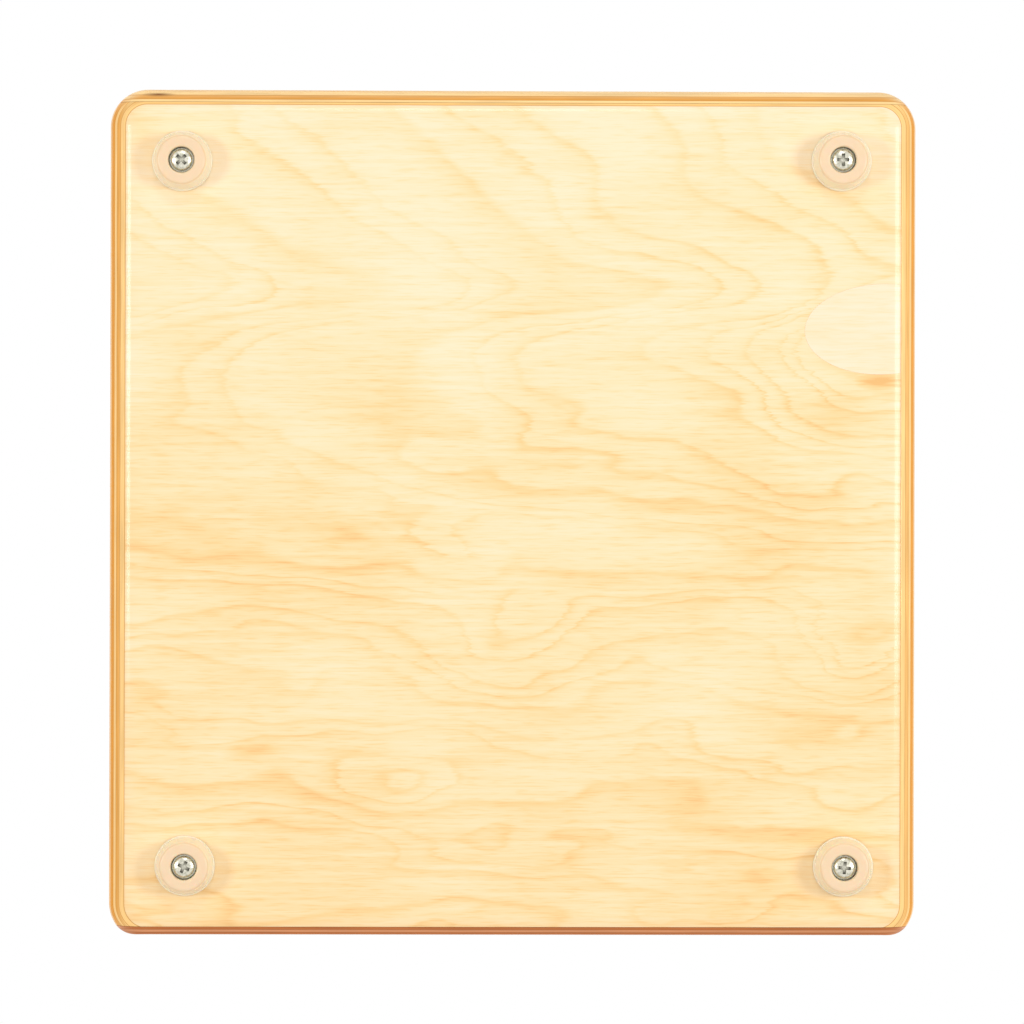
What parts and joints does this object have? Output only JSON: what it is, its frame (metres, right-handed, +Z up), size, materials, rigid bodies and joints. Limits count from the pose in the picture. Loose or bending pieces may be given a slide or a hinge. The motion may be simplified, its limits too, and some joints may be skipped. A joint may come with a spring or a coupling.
{
  "type": "cajon",
  "caption": "Plywood box drum that a player sits on, with a thin playing plate in front, a ported back, rubber feet and a wire snare that turns inside.",
  "frame": {"origin": "on the floor plane, midway between the feet and under the middle of the box", "axes": "+Z up to the seat, -Y towards the playing plate, +Y towards the back with the sound hole, +X to the right seen from the front"},
  "size_m": [0.3, 0.314, 0.48],
  "materials": {
    "birch": "birch plywood, satin clear lacquer",
    "tapa_wood": "reddish brown veneered thin plywood, satin clear lacquer",
    "pine": "sawn softwood, bare",
    "beech": "planed beech, bare",
    "clear_rubber": "moulded soft clear rubber, slightly amber",
    "zinc_steel": "bright zinc-plated steel"
  },
  "bodies": {
    "box": {"bottom_panel": "birch", "veneer_patch": "birch", "top_panel": "birch", "left_side": "birch", "right_side": "birch", "back_panel": "birch", "tapa": "tapa_wood", "front_batten_left": "pine", "front_batten_right": "pine", "front_batten_bottom": "pine", "front_batten_top": "pine", "back_batten_left": "pine", "back_batten_right": "pine", "back_batten_bottom": "pine", "back_batten_top": "pine", "foot_front_left": "clear_rubber", "foot_front_right": "clear_rubber", "foot_back_left": "clear_rubber", "foot_back_right": "clear_rubber", "foot_washer_front_left": "zinc_steel", "foot_washer_front_right": "zinc_steel", "foot_washer_back_left": "zinc_steel", "foot_washer_back_right": "zinc_steel", "foot_screw_front_left": "zinc_steel", "foot_screw_front_right": "zinc_steel", "foot_screw_back_left": "zinc_steel", "foot_screw_back_right": "zinc_steel", "tapa_screw_left_1": "zinc_steel", "tapa_screw_left_2": "zinc_steel", "tapa_screw_left_3": "zinc_steel", "tapa_screw_left_4": "zinc_steel", "tapa_screw_left_5": "zinc_steel", "tapa_screw_right_1": "zinc_steel", "tapa_screw_right_2": "zinc_steel", "tapa_screw_right_3": "zinc_steel", "tapa_screw_right_4": "zinc_steel", "tapa_screw_right_5": "zinc_steel", "tapa_screw_bottom_left": "zinc_steel", "tapa_screw_bottom_right": "zinc_steel", "tapa_screw_top_left": "zinc_steel", "tapa_screw_top_right": "zinc_steel", "snare_bearer_left": "pine", "snare_bearer_right": "pine"},
    "snare": {"snare_bar": "beech", "snare_strands_left": "zinc_steel", "snare_strands_right": "zinc_steel", "plate_screw_left_inner": "zinc_steel", "plate_screw_left_outer": "zinc_steel", "plate_screw_right_inner": "zinc_steel", "plate_screw_right_outer": "zinc_steel"}
  },
  "joints": [
    {"name": "snare_turn", "type": "hinge", "parent": "box", "child": "snare", "pos_m": [0, -0.1204, 0.3137], "axis": [-1, 0, 0], "range_deg": [0, 25]}
  ]
}
